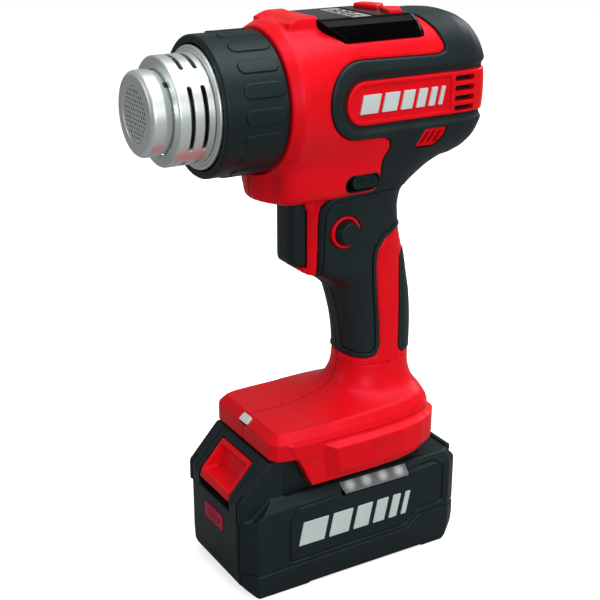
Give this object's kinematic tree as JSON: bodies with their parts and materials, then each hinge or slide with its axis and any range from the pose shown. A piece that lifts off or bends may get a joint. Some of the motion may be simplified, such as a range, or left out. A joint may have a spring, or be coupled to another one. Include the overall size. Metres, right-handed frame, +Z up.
{
  "type": "cordless heat gun",
  "caption": "Pistol-grip cordless heat gun with a steel outlet, ribbed collar, top display, trigger and a slide-on battery pack.",
  "frame": {"origin": "centre of the box's footprint, at the foot of the battery pack", "axes": "+Z up, the outlet blows towards -Y, +X is the user's left side with the round side button"},
  "size_m": [0.0824, 0.1996, 0.3239],
  "materials": {
    "red_plastic": "satin moulded",
    "crimson_plastic": "satin",
    "soft_grip": "soft touch, fine grain",
    "dark_plastic": "fine spark texture",
    "black_gloss": "polished",
    "satin_steel": "satin turned",
    "motor_can": "plated",
    "zinc_screw": "zinc plated",
    "mica": "matt",
    "circuit_board": "solder mask",
    "clear_lens": "clear moulded",
    "cell_wrap": "heat shrink",
    "contact_brass": "plated contact"
  },
  "bodies": {
    "housing": {"housing_left": "red_plastic", "housing_right": "red_plastic", "overmould_left": "soft_grip", "overmould_right": "soft_grip", "grip_pad_left": "soft_grip", "grip_pad_right": "soft_grip", "rear_grip_pad": "soft_grip", "nameplate_left": "red_plastic", "nameplate_right": "red_plastic", "vent_badge_left": "red_plastic", "vent_badge_right": "red_plastic", "outlet_cap": "satin_steel", "outlet_mesh": "satin_steel", "heat_shield_sleeve": "satin_steel", "flange_ring": "satin_steel", "mica_tube": "mica", "heater_former": "mica", "heating_coil": "satin_steel", "thermocouple": "satin_steel", "front_bulkhead": "dark_plastic", "fan_motor": "motor_can", "motor_mount": "dark_plastic", "control_board": "circuit_board", "display_housing": "black_gloss", "lcd_panel": "clear_lens", "display_board": "circuit_board", "trigger_switch": "dark_plastic", "trigger_spring": "satin_steel", "side_button_bezel": "red_plastic", "work_light_lens": "clear_lens", "terminal_block": "dark_plastic", "housing_screw_1": "zinc_screw", "housing_screw_2": "zinc_screw", "housing_screw_3": "zinc_screw", "housing_screw_4": "zinc_screw", "housing_screw_5": "zinc_screw", "housing_screw_6": "zinc_screw", "housing_screw_7": "zinc_screw", "housing_screw_8": "zinc_screw"},
    "collar_body": {"collar": "soft_grip"},
    "fan_body": {"fan_impeller": "dark_plastic", "motor_shaft": "satin_steel"},
    "trigger_body": {"trigger": "dark_plastic"},
    "side_button_body": {"side_button": "dark_plastic"},
    "lock_slider_body": {"lock_slider": "dark_plastic"},
    "temp_up_body": {"temp_up_button": "red_plastic"},
    "temp_down_body": {"temp_down_button": "red_plastic"},
    "battery_body": {"battery_upper_shell": "dark_plastic", "battery_lower_shell": "dark_plastic", "cell_row_lower": "cell_wrap", "cell_row_upper": "cell_wrap", "protection_board": "circuit_board", "pack_terminals": "contact_brass", "led_lens": "clear_lens", "led_board": "circuit_board"},
    "latch_body": {"battery_latch": "red_plastic"},
    "gauge_body": {"gauge_button": "crimson_plastic"}
  },
  "joints": [
    {"name": "trigger_pull", "type": "slide", "parent": "housing", "child": "trigger_body", "axis": [0, 1, 0], "range_m": [0, 0.006], "stiffness_N_per_m": 500, "springref_m": -0.004, "deforming": ["trigger_spring"]},
    {"name": "lock_slide", "type": "slide", "parent": "housing", "child": "lock_slider_body", "axis": [0, 1, 0], "range_m": [-0.005, 0]},
    {"name": "side_button_press", "type": "slide", "parent": "housing", "child": "side_button_body", "axis": [-1, 0, 0], "range_m": [0, 0.0025], "stiffness_N_per_m": 300, "springref_m": -0.002},
    {"name": "temp_up_press", "type": "slide", "parent": "housing", "child": "temp_up_body", "axis": [0, 0, -1], "range_m": [0, 0.0006], "stiffness_N_per_m": 800, "springref_m": -0.0006},
    {"name": "temp_down_press", "type": "slide", "parent": "housing", "child": "temp_down_body", "axis": [0, 0, -1], "range_m": [0, 0.0006], "stiffness_N_per_m": 800, "springref_m": -0.0006},
    {"name": "fan_spin", "type": "hinge", "parent": "housing", "child": "fan_body", "pos_m": [0, -0.00015, 0.2797], "axis": [0, 1, 0], "continuous": true},
    {"name": "collar_twist", "type": "hinge", "parent": "housing", "child": "collar_body", "pos_m": [0, -0.05015, 0.2797], "axis": [0, 1, 0], "range_deg": [0, 30]},
    {"name": "battery_slide", "type": "slide", "parent": "housing", "child": "battery_body", "axis": [0, -1, 0], "range_m": [0, 0.135]},
    {"name": "latch_press", "type": "slide", "parent": "battery_body", "child": "latch_body", "axis": [0, 0, -1], "range_m": [0, 0.004], "stiffness_N_per_m": 600, "springref_m": -0.003},
    {"name": "gauge_press", "type": "slide", "parent": "battery_body", "child": "gauge_body", "axis": [0, 1, 0], "range_m": [0, 0.0006], "stiffness_N_per_m": 800, "springref_m": -0.0006}
  ]
}
